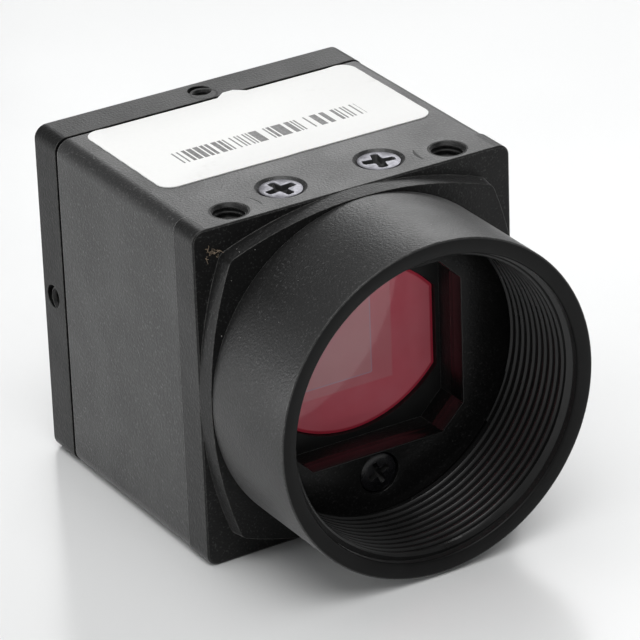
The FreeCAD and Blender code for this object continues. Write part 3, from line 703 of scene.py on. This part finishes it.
def tapped_holes():
    bm = bmesh.new()
    for s in (-1, 1):
        for z, up in ((TOP_Z, 1), (shell_low.z, -1)):
            thread_sleeve(bm, (s * M3_X, M3_Y, z), (0, 0, up), M3_DEPTH, M3_PITCH, M3_CREST_R,
                          M3_BORE_R, 72)
    piece = add_object("bracket_hole_threads", bm, body_black, 28)
    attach(piece, "root")
    bm = bmesh.new()
    for across, up in ((0, 1), (1, 0), (0, -1), (-1, 0)):
        place = (across * REAR_HALF, M2_Y, AXIS_Z + up * REAR_HALF)
        thread_sleeve(bm, place, (across, 0, up), M2_DEPTH, M2_PITCH, M2_CREST_R, M2_BORE_R, 56)
    piece = add_object("rear_hole_threads", bm, body_black, 28)
    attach(piece, "root")


# ---------------------------------------------------------------- joints on the top
def outline_rectangle(x0, y0, x1, y1):
    def at(grow):
        return [(x0 - grow, y0 - grow), (x1 + grow, y0 - grow),
                (x1 + grow, y1 + grow), (x0 - grow, y1 + grow)]
    return at


def top_paint():
    """Paint that hides the fine joint between the shell and the front plate on the top."""
    bm = bmesh.new()
    holes = [outline_circle(s * M3_X, M3_Y, M3_BORE_R, ROUND_SIDES) for s in (-1, 1)]
    holes += [outline_circle(s * COVER_SCREW_X, COVER_SCREW_Y, COUNTERSINK_R, ROUND_SIDES)
              for s in (-1, 1)]
    half_w, from_face, under_label = 13.2, 0.16, 0.6
    outer = outline_rectangle(-half_w, FACE_Y + from_face, half_w, label_low.y + under_label)
    plate_with_holes(bm, outer, holes, TOP_Z + SKIN, TOP_Z - 0.05, SKIN)
    piece = add_object("top_joint_paint", bm, shell_flat, 10)
    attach(piece, "root")


def ear_slot_shade():
    """Near-black sheets painted as shade in the slots where the shell's tongue stands a little
    off the two ears.
    """
    bm = bmesh.new()
    ear_r, steps = 2.7, 14
    for side, first, last, width in ((1, 150, 192, 0.24), (-1, -12, 30, 0.1)):   # degrees, mm
        rings = []
        for k in range(steps + 1):
            a = math.radians(first + (last - first) * k / steps)
            half = 0.5 * width * math.sqrt(max(0.05, math.sin(math.pi * k / steps)))
            ring = []
            for r, z in ((ear_r - half, -SUNK), (ear_r - half, 2 * SKIN),
                         (ear_r + half, 2 * SKIN), (ear_r + half, -SUNK)):
                x, y = side * M3_X + r * math.cos(a), M3_Y + r * math.sin(a)
                ring.append(bm.verts.new((x, y, TOP_Z + z)))
            rings.append(ring)
        for a, b in zip(rings, rings[1:]):
            bridge(bm, a, b)
        bm.faces.new(rings[0])
        bm.faces.new(rings[-1])
    piece = add_object("ear_slot_shade", bm, painted_shade_black)
    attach(piece, "root")


def hole_mouth_shade():
    """Near-black rings painted as shaded countersinks round the three tapped holes on the top."""
    bm = bmesh.new()
    m3_mouth_r, m2_mouth_r = 1.63, 1.17
    mouths = [((s * M3_X, M3_Y, TOP_Z + SKIN), M3_BORE_R, m3_mouth_r) for s in (-1, 1)]
    mouths.append(((0, M2_Y, AXIS_Z + REAR_HALF), M2_BORE_R, m2_mouth_r))
    for place, inner, outer in mouths:
        start = len(bm.verts)
        lathe(bm, [(inner, -SUNK), (inner, SKIN), (outer, SKIN), (outer, -SUNK)], ROUND_SIDES,
              closed=True)
        placed(bm, axis_matrix(place, (0, 0, 1)), start)
    piece = add_object("hole_mouth_shade", bm, painted_shade_black, 10)
    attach(piece, "root")


# ---------------------------------------------------------------- label
def label_sheet():
    """Paper label with rounded corners, a hand-cut edge and a small torn tab at the back."""
    bm = bmesh.new()
    rng = random.Random(11)
    r, thick = 1.3, label_high.z - label_low.z
    arc_steps, side_steps = 12, 24
    x0, x1 = label_low.x + 0.02, label_high.x - 0.02
    y0, y1 = label_low.y + 0.05, label_high.y - 0.02
    pts = []
    corners = ((x1 - r, y0 + r, -90), (x1 - r, y1 - r, 0), (x0 + r, y1 - r, 90),
               (x0 + r, y0 + r, 180))
    for index, (cx, cy, first) in enumerate(corners):
        for k in range(arc_steps + 1):
            a = math.radians(first + 90 * k / arc_steps)
            pts.append((cx + r * math.cos(a), cy + r * math.sin(a)))
        nx, ny, nfirst = corners[(index + 1) % 4]
        a = math.radians(nfirst)
        end = (nx + r * math.cos(a), ny + r * math.sin(a))
        begin = pts[-1]
        for k in range(1, side_steps):
            t = k / side_steps
            x, y = begin[0] + (end[0] - begin[0]) * t, begin[1] + (end[1] - begin[1]) * t
            slack = rng.uniform(0.0, 0.03)
            if index == 0:                       # right side
                x -= slack
            elif index == 2:                     # left side
                x += slack
            elif index == 1:                     # back, with the tab
                y -= slack + 0.1
                if TAB_X[0] < x < TAB_X[1]:
                    y += TAB_L
            else:                                # front, with a small bulge
                y += slack - 0.04 * math.exp(-((x + 1.8) / 1.2) ** 2)
            pts.append((x, y))
    mx, my = (x0 + x1) / 2, (y0 + y1) / 2
    rings = []
    for inset, z in ((0.03, thick - 0.004), (0.0, thick - 0.02), (0.0, 0.0)):
        kx, ky = 1 - inset / ((x1 - x0) / 2), 1 - inset / ((y1 - y0) / 2)
        rings.append([bm.verts.new((mx + (x - mx) * kx, my + (y - my) * ky, label_low.z + z))
                      for x, y in pts])
    for a, b in zip(rings, rings[1:]):
        bridge(bm, a, b)
    bm.faces.new(rings[0])
    bm.faces.new(rings[-1])
    piece = add_object("label_sheet", bm, paper)
    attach(piece, "root")
    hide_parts("label")


# ---------------------------------------------------------------- dust and lint
def fleck(bm, rng, place, outwards, size):
    """Small flat crumb lying on a surface."""
    start = len(bm.verts)
    bmesh.ops.create_icosphere(bm, subdivisions=1, radius=size)
    bm.verts.ensure_lookup_table()
    for v in bm.verts[start:]:
        v.co *= rng.uniform(0.6, 1.25)
        v.co.z *= 0.45
    stretch = Matrix.Diagonal((rng.uniform(0.6, 1.6), rng.uniform(0.5, 1.1), 1, 1))
    spin = Matrix.Rotation(rng.uniform(0, math.tau), 4, "Z")
    placed(bm, axis_matrix(place, outwards) @ spin @ stretch, start)


def dust():
    bm = bmesh.new()
    rng = random.Random(4)
    for _ in range(110):                                # on the barrel's upper half
        a = math.radians(rng.uniform(-70, 75))
        y = rng.uniform(RIM_Y + 0.6, SEAT_Y - 0.3)
        out = Vector((math.sin(a), 0, math.cos(a)))
        place = out * (BARREL_R - 0.005) + Vector((0, y, AXIS_Z))
        fleck(bm, rng, place, out, rng.uniform(0.012, 0.034))
    for _ in range(55):                                   # on the top, beside the label
        x, y = rng.uniform(-13, 13.5), rng.uniform(FACE_Y + 0.4, label_low.y - 0.3)
        fleck(bm, rng, (x, y, TOP_Z), (0, 0, 1), rng.uniform(0.012, 0.03))
    boss_half = 13.2
    for x, z in ((-11.4, 12.9), (-11.2, 12.6), (-9.8, 12.4), (-9.5, 9.7), (-7.8, 9.6),
                 (-12.0, 10.4), (-13.1, 6.0), (-12.9, -3.0), (10.9, 12.8)):   # on the front
        y = SEAT_Y if max(abs(x), abs(z)) < boss_half and math.hypot(x, z) > BARREL_R else FACE_Y
        fleck(bm, rng, (x, y, AXIS_Z + z), (0, -1, 0), rng.uniform(0.03, 0.06))
    piece = add_object("dust_flecks", bm, dust_white, 80)
    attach(piece, "root")


def lint():
    """Tuft of brown fibres caught at the boss's upper corner."""
    rng = random.Random(9)
    data = bpy.data.curves.new("lint_tuft", "CURVE")
    data.dimensions = "3D"
    fibre_r, stride = 0.016, 0.11
    data.bevel_depth = fibre_r * MM
    data.bevel_resolution = 1
    centre = Vector((-12.8, FACE_Y - 0.12, AXIS_Z + 12.5))
    for _ in range(16):
        spline = data.splines.new("NURBS")
        spline.points.add(6)
        p = centre + Vector((rng.gauss(0, 0.24), rng.gauss(0, 0.08), rng.gauss(0, 0.14)))
        step = Vector((rng.gauss(0, 1), rng.gauss(0, 0.4), rng.gauss(0, 1))).normalized() * stride
        for point in spline.points:
            point.co = (p.x * MM, min(p.y, FACE_Y - 0.02) * MM, p.z * MM, 1)
            bend = Vector((rng.gauss(0, 0.09), rng.gauss(0, 0.04), rng.gauss(0, 0.09)))
            step = (step + bend).normalized() * stride
            p = p + step
        spline.order_u = 4
        spline.use_endpoint_u = True
    data.materials.append(lint_brown)
    piece = bpy.data.objects.new("lint_tuft", data)
    scene.collection.objects.link(piece)
    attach(piece, "root")


lens_barrel()
barrel_screws()
cover_screws()
rear_screws()
tapped_holes()
top_paint()
ear_slot_shade()
hole_mouth_shade()
label_sheet()
dust()
lint()


# ---------------------------------------------------------------- floor, light and camera
def floor():
    bm = bmesh.new()
    half = 3000
    corners = ((-half, -half, 0), (half, -half, 0), (half, half, 0), (-half, half, 0))
    bm.faces.new([bm.verts.new(corner) for corner in corners])
    material, tree, shader = new_material("floor_white", (0.82, 0.825, 0.825), 0.22, IOR=1.28)
    tree.links.new(ramp(tree, noise(tree, 30.0, 2.0), 0.3, 0.7, 0.2, 0.25),
                   shader.inputs["Roughness"])
    add_object("studio_floor", bm, material)


def studio_world(lobes):
    """Soft white patches all round, each with its direction, sharpness and strength."""
    world = bpy.data.worlds.new("studio")
    scene.world = world
    world.use_nodes = True
    tree = world.node_tree
    away = node(tree, "TexCoord").outputs["Generated"]
    strength = 0.0
    for direction, sharpness, radiance in lobes:
        towards = node(tree, "VectorMath", {0: away, 1: Vector(direction).normalized()},
                       operation="DOT_PRODUCT").outputs["Value"]
        lobe = math_node(tree, "POWER", math_node(tree, "MAXIMUM", towards, 0.0), sharpness)
        strength = math_node(tree, "ADD", math_node(tree, "MULTIPLY", lobe, radiance), strength)
    background = tree.nodes["Background"]
    background.inputs["Color"].default_value = (0.985, 0.995, 1.0, 1)
    tree.links.new(strength, background.inputs["Strength"])


def softbox(name, place, target, width, height, radiance):
    """Area lamp of a given brightness, in metres; its power follows from its size."""
    data = bpy.data.lights.new(name, "AREA")
    data.shape = "RECTANGLE"
    data.size, data.size_y = width, height
    data.energy = radiance * math.pi * width * height
    lamp = bpy.data.objects.new(name, data)
    scene.collection.objects.link(lamp)
    lamp.location = place
    lamp.rotation_euler = (Vector(target) - Vector(place)).to_track_quat("-Z", "Y").to_euler()


def camera():
    """Placed as the photograph was taken: direction, roll, distance, focal length and aim."""
    azimuth, elevation, roll = (math.radians(a) for a in (-30.749475, 25.942242, -2.145098))
    distance, focal_px, image_px, sensor = 365.638, 4561.943, 640, 36
    behind_face, aside, above = 8.0, 1.12, -0.06          # point looked at, from the face's middle
    back = Vector((math.sin(azimuth) * math.cos(elevation),
                   -math.cos(azimuth) * math.cos(elevation), math.sin(elevation)))
    level_right = (-back).cross(Vector((0, 0, 1))).normalized()
    level_up = level_right.cross(-back)
    right = level_right * math.cos(roll) + level_up * math.sin(roll)
    up = level_up * math.cos(roll) - level_right * math.sin(roll)
    aim = Vector((0, FACE_Y + behind_face, AXIS_Z)) + right * aside + up * above
    data = bpy.data.cameras.new("camera")
    data.lens = focal_px * sensor / image_px
    data.sensor_width = sensor
    data.clip_start, data.clip_end = 0.01, 20
    camera_object = bpy.data.objects.new("camera", data)
    scene.collection.objects.link(camera_object)
    pose = Matrix((right, up, back)).transposed().to_4x4()
    pose.translation = (aim + back * distance) * MM
    camera_object.matrix_world = pose
    scene.camera = camera_object


floor()
studio_world([((0.51, 0.77, 0.3), 6, 0.35), ((-0.51, 0.77, 0.3), 6, 0.35), ((-1, 0, 0.15), 6, 1.1),
              ((1, 0, 0.3), 6, 0.8), ((-0.2, -1, 0.5), 6, 0.35)])
softbox("overhead", (-0.08, 0.0, 0.6), (0, 0, 0), 0.6, 0.6, 1.75)
softbox("behind", (0.72, 0.92, 0.68), (0, 0, 0.02), 0.6, 0.48, 4.3)
softbox("left", (-0.6, 0.16, 0.07), (0, 0, 0.015), 0.36, 0.14, 7.0)
softbox("front", (-0.16, -0.6, 1.1), (0, 0, 0.015), 0.7, 0.7, 3.1)
camera()
